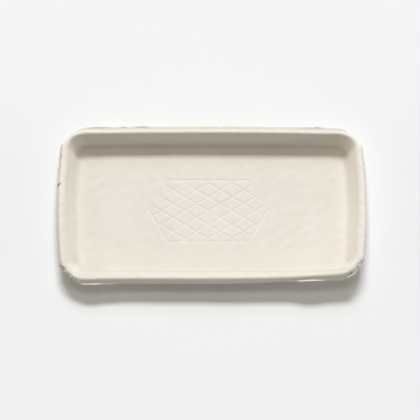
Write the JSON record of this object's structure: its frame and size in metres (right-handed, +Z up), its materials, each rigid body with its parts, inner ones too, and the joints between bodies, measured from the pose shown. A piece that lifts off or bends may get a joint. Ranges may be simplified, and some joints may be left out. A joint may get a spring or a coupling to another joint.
{
  "type": "moulded pulp food tray",
  "caption": "Shallow rectangular tray of moulded pulp with a flat floor, leaning walls, rounded rim and turned-down outer lip.",
  "frame": {"origin": "on the table under the centre of the tray's floor, in the plane of its underside", "axes": "+X along the tray's long side, +Y across it away from the viewer in the picture, +Z up"},
  "size_m": [0.266, 0.137, 0.021],
  "materials": {
    "pulp": "dull cream moulded fibre, slightly rough"
  },
  "bodies": {
    "root": {"tray": "pulp"}
  },
  "joints": []
}
